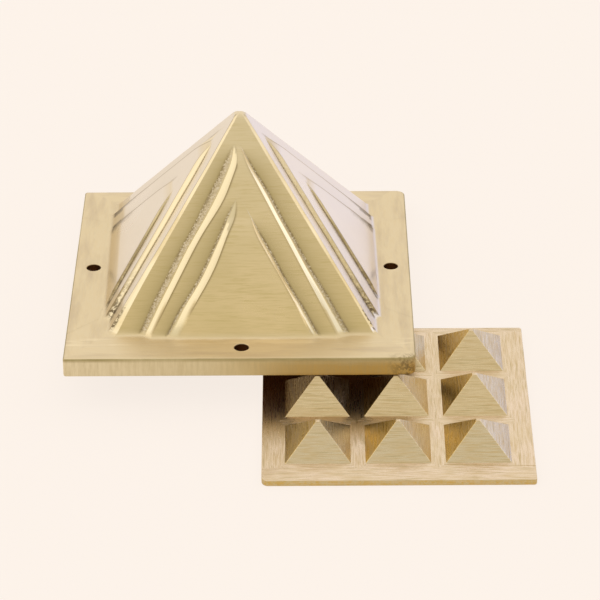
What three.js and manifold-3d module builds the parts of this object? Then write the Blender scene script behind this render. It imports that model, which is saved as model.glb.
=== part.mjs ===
// A two-piece brass vastu pyramid set, in millimetres, +Z up.
//
// pyramid_cover: a cast hollow pyramid on a square flange with four screw holes. Each face of the
// pyramid rises in two chevron steps, and the flange is a shallow tray underneath, with a thin lip
// all round.
// nine_pyramid_plate: a flat plate with nine small blunt pyramids in a 3 by 3 grid.
//
// The plate lies flat. The cover leans on it: its back edge stands on the ground, and its front lip
// rests on two tips of the plate's middle row.

import * as THREE from 'three';
import { mergeVertices } from 'three/addons/utils/BufferGeometryUtils.js';
import Module from 'manifold-3d';

const wasm = await Module();
wasm.setup();

// The cover's flange
const flangeWidth = 75;
const flangeDepth = 80;
const flangeEdge = 4.2; // height of the outer edge, from the lip's underside to the top face
const webThickness = 2.1; // the flange's own wall, above the tray
const lipWidth = 1.5; // the turned-down rim round the tray
const edgeRound = 0.3;
const rightCornerRadius = 2;
const leftCornerRadius = 0.6;
const trayCornerRadius = 1;

// The cover's pyramid
const flangeBorder = 8.4; // from the flange's outer edge to the pyramid's foot, on average
const pyramidHeight = 39.1; // to where the faces would meet
const pyramidRightShift = 0.4; // the pyramid stands this much nearer the flange's right edge
const pyramidBackShift = 1.9; // and this much nearer its back edge
const tipRadius = 1.35;
const footRadius = 1.5;
const hipRadiusFoot = 1.8; // the rounding of the four hips, wider at the foot than at the tip
const hipRadiusTip = 0.5;
const shellWall = 2.4;
const cavityTipHalf = 1; // half the flat at the top of the cavity

// The chevron steps on each face
const stepHeight = 0.85;
const stepSlopeHeight = 0.8; // the sloped part of each step's edge
const stepSlopeWidth = 2.1;
const chevronDrops = [6.7, 19.4]; // down the slope, from the faces' meeting point to each step's apex
const chevronHalfAngle = THREE.MathUtils.degToRad(28);
const chevronFeet = [-3, -0.6]; // up the slope, from the pyramid's foot to each step's lower end

// The screw holes, one on each side of the flange, in line with the pyramid's middle
const screwHole = 3.1;
const sideHoleInset = 4.2; // from the flange's outer edge
const frontHoleInset = 5;
const backHoleInset = 3.4;

// The plate
const plateWidth = 57;
const plateDepth = 55.1;
const plateThickness = 1.5;
const plateCornerRadius = 0.6;
const plateFrontLeftRadius = 1.4;

// The small pyramids on the plate
const smallWidth = 13.7;
const smallDepth = 13.4;
const smallHeight = 6.6; // to where the faces would meet
const smallTipHalf = 0.42; // half the blunt tip's width
const channelWidth = 3.05;
const gridBackShift = 1.4; // the grid sits this much nearer the plate's back edge
const gridCount = 3;

// How the two lie together
const seatGap = 0.3;
const plateShiftX = 33.3; // the plate's centre to the right of the cover's centre

const embed = 1; // how far a joined shape reaches into what carries it
const holeSegments = 24;
const cornerSegments = 5;
const hipSegments = 4;

const coverBrass = new THREE.MeshStandardMaterial({ color: 0xc9a866, roughness: 0.34, metalness: 1 });
const plateBrass = new THREE.MeshStandardMaterial({ color: 0xc2a05e, roughness: 0.38, metalness: 1 });
coverBrass.name = 'cast_brass';
plateBrass.name = 'brushed_brass';

// Turns a closed geometry into a solid that can be joined and cut.
function solid(geometry) {
  geometry.deleteAttribute('normal');
  geometry.deleteAttribute('uv');
  const merged = mergeVertices(geometry, 1e-5);
  return new wasm.Manifold(new wasm.Mesh({
    numProp: 3,
    vertProperties: new Float32Array(merged.attributes.position.array),
    triVerts: new Uint32Array(merged.index.array),
  }));
}

// Turns a solid back into a named mesh.
function meshOf(body, name, material) {
  const { vertProperties, triVerts } = body.getMesh();
  const indexed = new THREE.BufferGeometry();
  indexed.setAttribute('position', new THREE.BufferAttribute(vertProperties, 3));
  indexed.setIndex(new THREE.BufferAttribute(triVerts, 1));
  const geometry = indexed.toNonIndexed();
  geometry.computeVertexNormals();
  const mesh = new THREE.Mesh(geometry, material);
  mesh.name = name;
  return mesh;
}

// A rectangle centred on the origin, with a radius for each corner.
function roundedRectangle(width, depth, { frontLeft, frontRight, backRight, backLeft }) {
  const x = width / 2;
  const y = depth / 2;
  const shape = new THREE.Shape();
  shape.moveTo(-x + frontLeft, -y);
  shape.lineTo(x - frontRight, -y);
  shape.absarc(x - frontRight, -y + frontRight, frontRight, -Math.PI / 2, 0);
  shape.lineTo(x, y - backRight);
  shape.absarc(x - backRight, y - backRight, backRight, 0, Math.PI / 2);
  shape.lineTo(-x + backLeft, y);
  shape.absarc(-x + backLeft, y - backLeft, backLeft, Math.PI / 2, Math.PI);
  shape.lineTo(-x, -y + frontLeft);
  shape.absarc(-x + frontLeft, -y + frontLeft, frontLeft, Math.PI, Math.PI * 1.5);
  return shape;
}

// A plain upright slab of an outline, from z = bottom to z = top.
function slab(outline, bottom, top) {
  const geometry = new THREE.ExtrudeGeometry(outline, {
    depth: top - bottom,
    bevelEnabled: false,
    curveSegments: cornerSegments,
  });
  geometry.translate(0, 0, bottom);
  return geometry;
}

// The outline of a loft's ring, { x, y, z, r }: x and y are half its width and half its depth, and r
// is its corner radius, turned in the given number of steps. A ring without steps has sharp corners.
function ringPoints({ x, y, z, r = 0 }, steps) {
  const corners = [[1, 1, 0], [-1, 1, 1], [-1, -1, 2], [1, -1, 3]];
  return corners.flatMap(([sx, sy, quarter]) => {
    const points = [];
    for (let step = 0; step <= steps; step += 1) {
      const angle = (quarter + (steps > 0 ? step / steps : 0)) * (Math.PI / 2);
      const turn = steps > 0 ? [Math.cos(angle), Math.sin(angle)] : [sx, sy];
      points.push(sx * (x - r) + r * turn[0], sy * (y - r) + r * turn[1], z);
    }
    return points;
  });
}

// A closed solid through rings stacked from bottom to top.
function ringLoft(rings, steps = 0) {
  const position = rings.flatMap((ring) => ringPoints(ring, steps));
  const count = 4 * (steps + 1);
  const last = (rings.length - 1) * count;
  const index = [];
  for (let point = 1; point < count - 1; point += 1) {
    index.push(0, point + 1, point, last, last + point, last + point + 1);
  }
  for (let lower = 0; lower < last; lower += count) {
    const upper = lower + count;
    for (let point = 0; point < count; point += 1) {
      const next = (point + 1) % count;
      index.push(lower + point, lower + next, upper + next, lower + point, upper + next, upper + point);
    }
  }
  const geometry = new THREE.BufferGeometry();
  geometry.setAttribute('position', new THREE.Float32BufferAttribute(position, 3));
  geometry.setIndex(index);
  return geometry;
}

// The cover is modelled about the centre of its lip's underside, and then leaned back.
const pyramidHalfX = flangeWidth / 2 - flangeBorder;
const pyramidHalfY = flangeDepth / 2 - flangeBorder;
const webUnderside = flangeEdge - webThickness;

// One section of the pyramid, as its half width, becomes a ring with the pyramid's own proportions.
const pyramidRing = (halfWidth, height, r = 0) => ({
  x: halfWidth,
  y: (halfWidth * pyramidHalfY) / pyramidHalfX,
  z: flangeEdge + height,
  r,
});

// The hips' rounding at a height, never more than the section there can take.
function hipRadius(halfWidth, height) {
  const share = Math.min(Math.max(height / pyramidHeight, 0), 1);
  return Math.min(hipRadiusFoot + (hipRadiusTip - hipRadiusFoot) * share, halfWidth * 0.9);
}

function hipRing(halfWidth, height) {
  return pyramidRing(halfWidth, height, hipRadius(halfWidth, height));
}

// Points on an arc about (centreX, centreZ), as rings.
function arcRings(centreX, centreZ, radius, fromAngle, toAngle, steps) {
  const rings = [];
  for (let step = 0; step <= steps; step += 1) {
    const angle = fromAngle + ((toAngle - fromAngle) * step) / steps;
    rings.push(hipRing(centreX + radius * Math.cos(angle), centreZ + radius * Math.sin(angle)));
  }
  return rings;
}

// The smooth pyramid under the steps: a hollow curve at its foot, a plane face and a round tip.
function pyramidCore() {
  const slant = Math.hypot(pyramidHalfX, pyramidHeight);
  const faceNormal = Math.atan2(pyramidHalfX, pyramidHeight);
  const footX = pyramidHalfX * (1 - footRadius / pyramidHeight) + (footRadius * slant) / pyramidHeight;
  const tipCentre = pyramidHeight - (tipRadius * slant) / pyramidHalfX;
  const topAngle = THREE.MathUtils.degToRad(80);
  return solid(ringLoft([
    hipRing(footX, -embed),
    ...arcRings(footX, footRadius, footRadius, -Math.PI / 2, faceNormal - Math.PI, 4),
    ...arcRings(0, tipCentre, tipRadius, faceNormal, topAngle, 4),
  ], hipSegments));
}

// Stands a shape drawn on a face, x along the foot and y up the slope, on one of the four faces.
function onFace(geometry, faceNumber) {
  const run = faceNumber % 2 === 0 ? pyramidHalfY : pyramidHalfX;
  const slant = Math.hypot(run, pyramidHeight);
  const along = new THREE.Vector3(1, 0, 0);
  const upSlope = new THREE.Vector3(0, run, pyramidHeight).divideScalar(slant);
  const outward = new THREE.Vector3(0, -pyramidHeight, run).divideScalar(slant);
  const place = new THREE.Matrix4().makeBasis(along, upSlope, outward);
  place.setPosition(0, -run, flangeEdge);
  const turn = new THREE.Matrix4().makeRotationZ((faceNumber * Math.PI) / 2);
  return geometry.applyMatrix4(place).applyMatrix4(turn);
}

// One raised chevron: a tall triangle whose edge slopes back to its flat top. The first step's lower
// end is sunk in the flange, and the second slopes down to it.
function chevronStep(faceNumber, drop, foot, height) {
  const run = faceNumber % 2 === 0 ? pyramidHalfY : pyramidHalfX;
  const apex = Math.hypot(run, pyramidHeight) - drop;
  const halfSpan = (apex - foot) * Math.tan(chevronHalfAngle);
  const outline = new THREE.Shape();
  outline.moveTo(-halfSpan, foot);
  outline.lineTo(halfSpan, foot);
  outline.lineTo(0, apex);
  outline.closePath();
  const geometry = new THREE.ExtrudeGeometry(outline, {
    depth: height + embed - stepSlopeHeight * 2,
    bevelEnabled: true,
    bevelThickness: stepSlopeHeight,
    bevelSize: stepSlopeWidth,
    bevelOffset: -stepSlopeWidth,
    bevelSegments: 1,
  });
  geometry.translate(0, 0, stepSlopeHeight - embed);
  return solid(onFace(geometry, faceNumber));
}

function flangeBody() {
  const outline = roundedRectangle(flangeWidth - edgeRound * 2, flangeDepth - edgeRound * 2, {
    frontLeft: leftCornerRadius - edgeRound,
    frontRight: rightCornerRadius - edgeRound,
    backRight: rightCornerRadius - edgeRound,
    backLeft: leftCornerRadius - edgeRound,
  });
  const geometry = new THREE.ExtrudeGeometry(outline, {
    depth: flangeEdge - edgeRound * 2,
    bevelEnabled: true,
    bevelThickness: edgeRound,
    bevelSize: edgeRound,
    bevelSegments: 2,
    curveSegments: cornerSegments,
  });
  geometry.translate(0, 0, edgeRound);
  return solid(geometry);
}

function flangeTray() {
  const outline = roundedRectangle(flangeWidth - lipWidth * 2, flangeDepth - lipWidth * 2, {
    frontLeft: trayCornerRadius,
    frontRight: trayCornerRadius,
    backRight: trayCornerRadius,
    backLeft: trayCornerRadius,
  });
  return solid(slab(outline, -embed, webUnderside));
}

// The hollow: straight through the flange's web, then tapered like the outside.
function cavity() {
  const slant = Math.hypot(pyramidHalfX, pyramidHeight);
  const mouthHalf = pyramidHalfX - (shellWall * slant) / pyramidHeight;
  const top = ((mouthHalf - cavityTipHalf) * pyramidHeight) / pyramidHalfX;
  return solid(ringLoft([
    pyramidRing(mouthHalf, -webThickness - embed),
    pyramidRing(mouthHalf, 0),
    pyramidRing(cavityTipHalf, top),
  ]));
}

function screwHoles() {
  const side = flangeWidth / 2 - sideHoleInset;
  return [
    [side, pyramidBackShift],
    [-side, pyramidBackShift],
    [pyramidRightShift, flangeDepth / 2 - backHoleInset],
    [pyramidRightShift, frontHoleInset - flangeDepth / 2],
  ].map(([holeX, holeY]) => {
    const length = webThickness + embed * 2;
    const hole = new THREE.CylinderGeometry(screwHole / 2, screwHole / 2, length, holeSegments);
    hole.rotateX(Math.PI / 2);
    hole.translate(holeX, holeY, flangeEdge - webThickness / 2);
    return solid(hole);
  });
}

function pyramidCover() {
  let pyramid = pyramidCore();
  for (let faceNumber = 0; faceNumber < 4; faceNumber += 1) {
    chevronDrops.forEach((drop, level) => {
      pyramid = pyramid.add(chevronStep(faceNumber, drop, chevronFeet[level], stepHeight * (level + 1)));
    });
  }
  const shift = [pyramidRightShift, pyramidBackShift, 0];
  let body = flangeBody().add(pyramid.translate(shift));
  body = body.subtract(flangeTray()).subtract(cavity().translate(shift));
  screwHoles().forEach((hole) => {
    body = body.subtract(hole);
  });
  return meshOf(body, 'pyramid_cover', coverBrass);
}

// The plate is modelled about the centre of its underside.
const pitchX = smallWidth + channelWidth;
const pitchY = smallDepth + channelWidth;
const tipTop = smallHeight * (1 - smallTipHalf / (smallWidth / 2));

function smallPyramid(column, row) {
  const middle = (gridCount - 1) / 2;
  const geometry = ringLoft([
    { x: smallWidth / 2, y: smallDepth / 2, z: -embed },
    { x: smallWidth / 2, y: smallDepth / 2, z: 0 },
    { x: smallTipHalf, y: smallTipHalf, z: tipTop },
  ]);
  geometry.translate((column - middle) * pitchX, (row - middle) * pitchY + gridBackShift, plateThickness);
  return solid(geometry);
}

function ninePyramidPlate() {
  const outline = roundedRectangle(plateWidth, plateDepth, {
    frontLeft: plateFrontLeftRadius,
    frontRight: plateCornerRadius,
    backRight: plateCornerRadius,
    backLeft: plateCornerRadius,
  });
  let body = solid(slab(outline, 0, plateThickness));
  for (let column = 0; column < gridCount; column += 1) {
    for (let row = 0; row < gridCount; row += 1) {
      body = body.add(smallPyramid(column, row));
    }
  }
  return meshOf(body, 'nine_pyramid_plate', plateBrass);
}

// The lean: the cover turns about its back edge until the middle of its front lip clears the tips of
// the plate's middle row by the seat gap.
const lipMiddle = (edgeRound + lipWidth) / 2;
const backEdge = flangeDepth / 2 - edgeRound;
const leanRun = backEdge + flangeDepth / 2 - lipMiddle;
const lean = Math.asin((plateThickness + tipTop + seatGap) / leanRun);

const cover = pyramidCover();
cover.rotation.x = -lean;
cover.position.z = backEdge * Math.sin(lean);

const plate = ninePyramidPlate();
const tipRowY = -(flangeDepth / 2 - lipMiddle) * Math.cos(lean);
plate.position.set(plateShiftX, tipRowY - gridBackShift, 0);

const set = new THREE.Group();
set.add(cover, plate);

// The origin is under the middle of the set.
set.updateMatrixWorld(true);
const middle = new THREE.Box3().setFromObject(set, true).getCenter(new THREE.Vector3());
set.position.set(-middle.x, -middle.y, 0);
set.updateMatrixWorld(true);

export default set;
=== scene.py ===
# %% [markdown]
# A brass pyramid set: a hollow pyramid cover leaning on a flat plate of nine small pyramids. The
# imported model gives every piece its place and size. This lesson gives each piece its fine surface:
# filed edges, sloping steps, brushed grain and the pebbled skin that sand casting leaves.

import math

import bmesh
import bpy
import numpy as np
from mathutils import Euler, Matrix, noise, Vector


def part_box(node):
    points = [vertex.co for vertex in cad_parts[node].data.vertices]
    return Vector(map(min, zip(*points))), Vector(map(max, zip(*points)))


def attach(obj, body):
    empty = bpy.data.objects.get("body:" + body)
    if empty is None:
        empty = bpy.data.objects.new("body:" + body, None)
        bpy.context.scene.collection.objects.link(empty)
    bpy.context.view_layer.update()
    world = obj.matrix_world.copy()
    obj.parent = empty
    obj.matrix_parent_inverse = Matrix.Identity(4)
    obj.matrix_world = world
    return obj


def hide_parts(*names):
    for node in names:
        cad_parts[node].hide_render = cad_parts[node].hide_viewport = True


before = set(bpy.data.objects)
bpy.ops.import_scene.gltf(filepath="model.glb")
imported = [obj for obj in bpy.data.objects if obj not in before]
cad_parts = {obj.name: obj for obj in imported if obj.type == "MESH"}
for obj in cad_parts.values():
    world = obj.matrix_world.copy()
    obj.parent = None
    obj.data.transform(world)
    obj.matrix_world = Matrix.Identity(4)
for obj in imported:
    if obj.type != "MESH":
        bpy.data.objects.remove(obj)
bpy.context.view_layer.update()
MM = 0.001

# %% [markdown]
# Sizes come first, as they would on a drawing. They are the set's sizes in millimetres, and MM
# turns them into metres where a mesh is made. The cover is drawn about the middle of its underside
# and leaned back afterwards, so that its faces stay easy to describe.

# %% The cover's sizes
FLANGE_WIDTH = 75.0
FLANGE_DEPTH = 80.0
FLANGE_EDGE = 4.2
WEB = 2.1
LIP = 1.5
EDGE_ROUND = 0.3
CORNER_RIGHT = 2.0
CORNER_LEFT = 0.6
TRAY_CORNER = 1.0
HOLLOW_CORNER = 0.3
BORDER = 8.4
PYRAMID_HEIGHT = 39.5
RIGHT_SHIFT = 0.4
BACK_SHIFT = 1.9
SKEW = 0.012
TIP_RADIUS = 1.9
FOOT_RADIUS = 1.5
SHELL_WALL = 2.4
CAVITY_TIP_HALF = 1.0
HOLE_DIAMETER = 3.1
SIDE_HOLE_INSET = 4.2
FRONT_HOLE_INSET = 5.0
BACK_HOLE_INSET = 3.4

HALF_X = FLANGE_WIDTH / 2 - BORDER
HALF_Y = FLANGE_DEPTH / 2 - BORDER
print("pyramid foot", 2 * HALF_X, "by", 2 * HALF_Y, "mm")

# %% The steps' sizes
PEBBLE_SOFTNESS = 0.1
INNER_STEP_END = (-0.6, 4.0)
INNER_END_SOFTNESS = 0.4
FOOT_BLEND = 6.0
APEX_TAPER = 6.0
LEAST_WIDTH = 0.08
CREASE_DEPTH = 0.05
CREASE_PLACE, CREASE_WIDTH = -0.1, 0.14
# How far below the peak an arm bows and bulges most, and over what length.
BOW_PLACE, BOW_LENGTH = 37, 8
BULGE_PLACE, BULGE_LENGTH = 21, 6
# The waves in a line cut by hand: how far each swings, how fast, and how often the phase counts.
WAVES = ((0.13, 0.21, 1), (0.07, 0.57, 2))
SIDE_PHASE, ARM_PHASE, STEP_PHASE = 2.1, 1.3, 0.7

# Each arm of a step runs from a foot line to a crest line. A line is given by how far below the
# peak it meets the side's middle, and by its angle to the middle. Then come the shares of the
# arm's width and of its height that the pebbled foot takes, how far the crest bulges inward, and
# how far the whole arm bows inward.
FRONT_STEPS = (
    ((6.2, 26.8, 11.5, 26.6, 0.48, 0.15, 1.0, 0.0), (8.6, 28.9, 10.3, 26.9, 0.45, 0.40, 0, 0)),
    ((18.7, 27.0, 22.0, 25.4, 0.25, 0.15, 0.2, 1.0), (20.9, 29.0, 22.9, 28.7, 0.50, 0.40, 0, 0)),
)
RIGHT_STEPS = (
    ((8.7, 31.9, 10.4, 31.9, 0.35, 0.30, 0, 0), (7.6, 31.8, 9.8, 31.8, 0.35, 0.30, 0, 0)),
    ((22.0, 30.4, 22.9, 30.4, 0.35, 0.30, 0, 0), (19.9, 32.5, 21.0, 32.5, 0.35, 0.30, 0, 0)),
)
LEFT_STEPS = (
    ((6.0, 32.5, 8.6, 32.5, 0.25, 0.20, 0, 0), (10.4, 33.5, 12.4, 33.0, 0.25, 0.20, 0, 0)),
    ((19.2, 31.8, 20.3, 31.8, 0.30, 0.20, 0, 0), (21.3, 35.4, 22.0, 35.2, 0.30, 0.20, 0, 0)),
)
# By side, then by step and arm. The sides go round from the front over the right.
STEPS = np.array([FRONT_STEPS, RIGHT_STEPS, FRONT_STEPS, LEFT_STEPS])
# How far below the point of its foot line each arm starts.
FRONT_STARTS = ((2.3, 0.5), (2.3, 4.0))
RIGHT_STARTS = ((0.7, 0.7), (1.2, 1.2))
LEFT_STARTS = ((1.0, 0.6), (3.3, 3.3))
STARTS = np.array([FRONT_STARTS, RIGHT_STARTS, FRONT_STARTS, LEFT_STARTS])
# The heights of the outer and the inner step, and how clean their slopes were filed, by side.
STEP_HEIGHTS = ((0.9, 0.9), (0.8, 0.5), (0.9, 0.9), (0.9, 0.5))
FILED_CLEAN = np.array([(1.0, 1.0), (0.1, 0.2), (1.0, 1.0), (1.0, 0.35)])

# The flat filed on each hip, by height above the flange, front left corner first.
HIP_HEIGHTS = (0, 1, 4.5, 9, 16, 29, 36)
HIP_FLATS = (
    (1.6, 1.6, 1.25, 0.95, 0.7, 0.5, 0.42),
    (0.6, 0.6, 0.5, 0.45, 0.6, 0.65, 0.5),
    (0.8, 0.8, 0.8, 0.9, 0.8, 0.8, 0.6),
    (0.3, 0.3, 0.4, 0.3, 0.3, 0.3, 0.3),
)
# How far the front left hip stands inside the pyramid's true corner, by the same heights.
LEFT_HIP_IN = (0.3, 0.3, 0.3, 0.35, 0.45, 0.5, 0.3)

# %% The plate's sizes
PLATE_WIDTH = 57.0
PLATE_DEPTH = 55.1
PLATE_THICKNESS = 1.5
PLATE_CORNER = 0.6
PLATE_FRONT_LEFT = 1.4
SMALL_WIDTH = 13.7
SMALL_DEPTH = 13.4
SMALL_HEIGHT = 6.6
SMALL_TIP_HALF = 0.42
CHANNEL = 3.05
GRID_BACK = 1.4
GRID_COUNT = 3
SMALL_TOP = SMALL_HEIGHT * (1 - SMALL_TIP_HALF / (SMALL_WIDTH / 2))
print("tips stand", round(PLATE_THICKNESS + SMALL_TOP, 2), "mm above the ground")

# %% [markdown]
# The camera comes next, because it decides how fine each surface has to be. It stands where the
# photographer stood: about 0.7 m away and 35 degrees above the set, with a long lens, so the sides
# of both pieces run together only a little.

# %% The camera
CAMERA_PLACE = (0.00179, -0.55273, 0.38582)
CAMERA_DOWN = math.radians(34.22)
CAMERA_TURN = math.radians(0.105)
CAMERA_ROLL = math.radians(-0.37)
FOCAL_SHARE = 3045.4 / 600
SENSOR = 36.0

camera_data = bpy.data.cameras.new("camera")
camera_data.sensor_width = SENSOR
camera_data.lens = SENSOR * FOCAL_SHARE
camera = bpy.data.objects.new("camera", camera_data)
camera.location = CAMERA_PLACE
aim = Euler((math.pi / 2 - CAMERA_DOWN, 0, CAMERA_TURN)).to_matrix()
camera.rotation_euler = (aim @ Matrix.Rotation(CAMERA_ROLL, 3, "Z")).to_euler()
bpy.context.collection.objects.link(camera)
bpy.context.scene.camera = camera
bpy.context.scene.view_settings.view_transform = "Standard"
print("lens", round(camera_data.lens, 1), "mm")

# %% [markdown]
# The cover leans: its back edge stands on the ground and its front lip lies over two tips of the
# plate. The lean follows from the sizes, and the frame says where the two pieces are, so neither
# is placed by eye.

# %% Where the cover lies
SEAT_GAP = 0.3
lip_middle = (EDGE_ROUND + LIP) / 2
back_edge = FLANGE_DEPTH / 2 - EDGE_ROUND
lean_run = back_edge + FLANGE_DEPTH / 2 - lip_middle
LEAN = math.asin((PLATE_THICKNESS + SMALL_TOP + SEAT_GAP) / lean_run)

cover_low, cover_high = (Vector(corner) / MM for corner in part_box("pyramid_cover"))
plate_low, plate_high = (Vector(corner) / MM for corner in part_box("nine_pyramid_plate"))
plate_middle = (plate_low + plate_high) / 2
cover_middle_x = (cover_low.x + cover_high.x) / 2
tip_row_y = plate_middle.y + GRID_BACK
cover_middle_y = tip_row_y + (FLANGE_DEPTH / 2 - lip_middle) * math.cos(LEAN)
cover_middle_z = back_edge * math.sin(LEAN)
print("lean", round(math.degrees(LEAN), 2), "degrees")


def lean_and_place(points):
    """Turns points drawn on the level cover into places in the frame, in metres."""
    c, s = math.cos(LEAN), math.sin(LEAN)
    x, y, z = points[:, 0], points[:, 1], points[:, 2]
    placed = np.stack([
        x + cover_middle_x,
        c * y + s * z + cover_middle_y,
        c * z - s * y + cover_middle_z,
    ], axis=1)
    return placed * MM


# %% [markdown]
# The cover is one skin without seams, so it is drawn as one long stack of rings: down the outside
# from the tip, over the flange, round the lip and up the hollow inside. Each ring has the same
# number of points. The points crowd where a step's edge crosses the ring, which keeps the slopes
# crisp without a dense mesh everywhere. A Boolean or a bevelled box would give no such control.

# %% Three curves that the steps and their finish share
def hump(distance, reach):
    """1 at no distance, falling off smoothly within about twice the reach."""
    return np.exp(-((distance / reach) ** 2))


def rise(value, low, width):
    """Goes evenly from 0 at low to 1 at low plus the width."""
    return np.clip((value - low) / width, 0, 1)


def soft_ramp(distance, width, softness):
    """Rises from 0 to 1 over the width, with rounded ends."""
    start = np.logaddexp(0, distance / softness)
    end = np.logaddexp(0, (distance - width) / softness)
    return (start - end) * softness / width


# %% The lines of one step
def riser(step, arm, side, up_slope, slope_length):
    """One arm of a step: its foot's distance from the middle, the cosine of its angle, the widths
    of its pebbled foot and its filed slope, the foot's share of the height, and how far the arm
    has grown, for it starts from nothing at the apex. Hand work makes the lines wander."""
    drop, angle, crest_drop, crest_angle, pebbled_share, share, bulge, bow = np.moveaxis(
        STEPS[side, step, int(arm > 0)], -1, 0
    )
    phase = SIDE_PHASE * side + ARM_PHASE * arm + STEP_PHASE * step
    wander = sum(swing * np.sin(pace * up_slope + count * phase) for swing, pace, count in WAVES)
    below_peak = slope_length - up_slope
    bowed = bow * hump(below_peak - BOW_PLACE, BOW_LENGTH)
    foot = (below_peak - drop) * np.tan(np.radians(angle)) + wander * (up_slope > 0) - bowed
    crest = (below_peak - crest_drop) * np.tan(np.radians(crest_angle)) - bowed
    cosine = np.cos(np.radians(angle))
    growth = rise(below_peak, drop + STARTS[side, step, int(arm > 0)], APEX_TAPER)
    growth = growth * (2 - growth)
    swell = bulge * hump(below_peak - BULGE_PLACE, BULGE_LENGTH)
    width = np.maximum((foot - crest + swell) * cosine * growth, LEAST_WIDTH)
    return foot, cosine, width * pebbled_share, width * (1 - pebbled_share), share, growth


def inward_distance(step, arm, side, along, up_slope, slope_length):
    """How far points lie inside the foot line of one arm, and the rest of what riser gives."""
    foot, cosine, *rest = riser(step, arm, side, up_slope, slope_length)
    return (foot - along * arm) * cosine, *rest


# %% [markdown]
# One side is drawn in its own plane: along the foot, up the slope and outward. The steps are a
# height above that plane. Each step is as the mould left it at its foot, and a file has cut a flat
# slope above that, which ends in a crisp edge. Two arms meet where the lower of them wins, as two
# cuts of a file do.

# %% The height of the steps above a plain face
def arm_height(step, arm, side, along, up_slope, slope_length):
    distance, pebbled, filed, share, growth = inward_distance(
        step, arm, side, along, up_slope, slope_length
    )
    low = share * soft_ramp(distance, pebbled, PEBBLE_SOFTNESS)
    high = (1 - share) * rise(distance, pebbled, filed)
    crease = CREASE_DEPTH * hump(distance - CREASE_PLACE, CREASE_WIDTH)
    return (low + high) * growth, crease * growth


def step_relief(side, along, up_slope, slope_length):
    relief = np.zeros_like(along)
    end_start, end_width = INNER_STEP_END
    for step in (1, 0):
        left, left_crease = arm_height(step, -1, side, along, up_slope, slope_length)
        right, right_crease = arm_height(step, 1, side, along, up_slope, slope_length)
        crease = np.where(along < 0, left_crease, right_crease)
        end = soft_ramp(up_slope - end_start, end_width, INNER_END_SOFTNESS) if step == 1 else 1
        relief = relief + STEP_HEIGHTS[side][step] * np.minimum(left, right) * end - crease
    return relief


# %% How points share out along one side of a ring
FILL = 5  # points spread evenly between two crowded places
BY_CREST = np.array([0.5, 0.26, 0.12, 0, -0.07])
BY_FOOT = np.array([0.12, 0, -0.1, -0.22, -0.5])
BY_HIP = np.array([0.7, 0.45, 0.25, 0.1, 0])
ON_PEBBLES = np.array([1, 0.7, 0.4])
PAST_PEBBLES = 0.07
BEFORE_CORNER = 0.05


def arm_columns(arm, side, straight, up_slope, slope_length):
    """Distances from a side's middle to the start of its corner, close together at each edge."""
    columns = [0.0]
    for step in (1, 0):
        foot, cosine, pebbled, filed, *_ = riser(step, arm, side, up_slope, slope_length)
        slope = [pebbled + filed / 2, pebbled + PAST_PEBBLES]
        inward = np.concatenate([pebbled + filed + BY_CREST, slope, pebbled * ON_PEBBLES, BY_FOOT])
        lines = np.clip(foot - inward / cosine, 0, straight - BEFORE_CORNER)
        columns += list(np.linspace(columns[-1], lines[0], FILL + 2)[1:-1])
        columns += list(np.maximum(lines, columns[-1]))
    by_hip = np.maximum(straight - BY_HIP, columns[-1])
    columns += list(np.linspace(columns[-1], by_hip[0], FILL + 2)[1:-1]) + list(by_hip)
    return np.array(columns)


# %% [markdown]
# The hips of the large pyramid aren't rounded but filed flat, and the flat widens and narrows with
# the file's strokes. The flange's corners are true arcs. Both kinds of corner take four points, so
# that rings of both kinds can be joined.

# %% A ring of the cover
CORNER_ANGLES = np.radians([11, 22, 33.5, 45])
FLAT_SHARES = np.array([0.96, 0.8, 0.4, 0.0])
PLAIN_CORNER = 2


def turned(along, out, side):
    """Distances along a side and out from the middle, as x and y."""
    c, s = math.cos(side * math.pi / 2), math.sin(side * math.pi / 2)
    return along * c + out * s, along * s - out * c


def corner_points(half_along, half_out, radius, filed_flat):
    """Half a corner, from a side's end to the corner's middle."""
    if filed_flat:
        along = half_along - radius / 2 * (1 + FLAT_SHARES)
        out = half_out - radius / 2 * (1 - FLAT_SHARES)
    else:
        along = half_along - radius + radius * np.sin(CORNER_ANGLES)
        out = half_out - radius + radius * np.cos(CORNER_ANGLES)
    return along, out


def half_side(arm, side, half_along, half_out, radius, up_slope, slope_length, steps, filed_flat):
    """From a side's middle to the middle of its corner, as distances along it and out from it."""
    straight = half_along - radius
    if steps:
        columns = arm_columns(arm, side, straight, up_slope, slope_length)
    else:
        foot_straight = HALF_X - PLAIN_CORNER
        columns = arm_columns(arm, side, foot_straight, 0, slope_length) / foot_straight * straight
    out = np.full(len(columns), half_out)
    corner_along, corner_out = corner_points(half_along, half_out, radius, filed_flat)
    return np.concatenate([columns, corner_along]), np.concatenate([out, corner_out]), len(columns)


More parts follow.
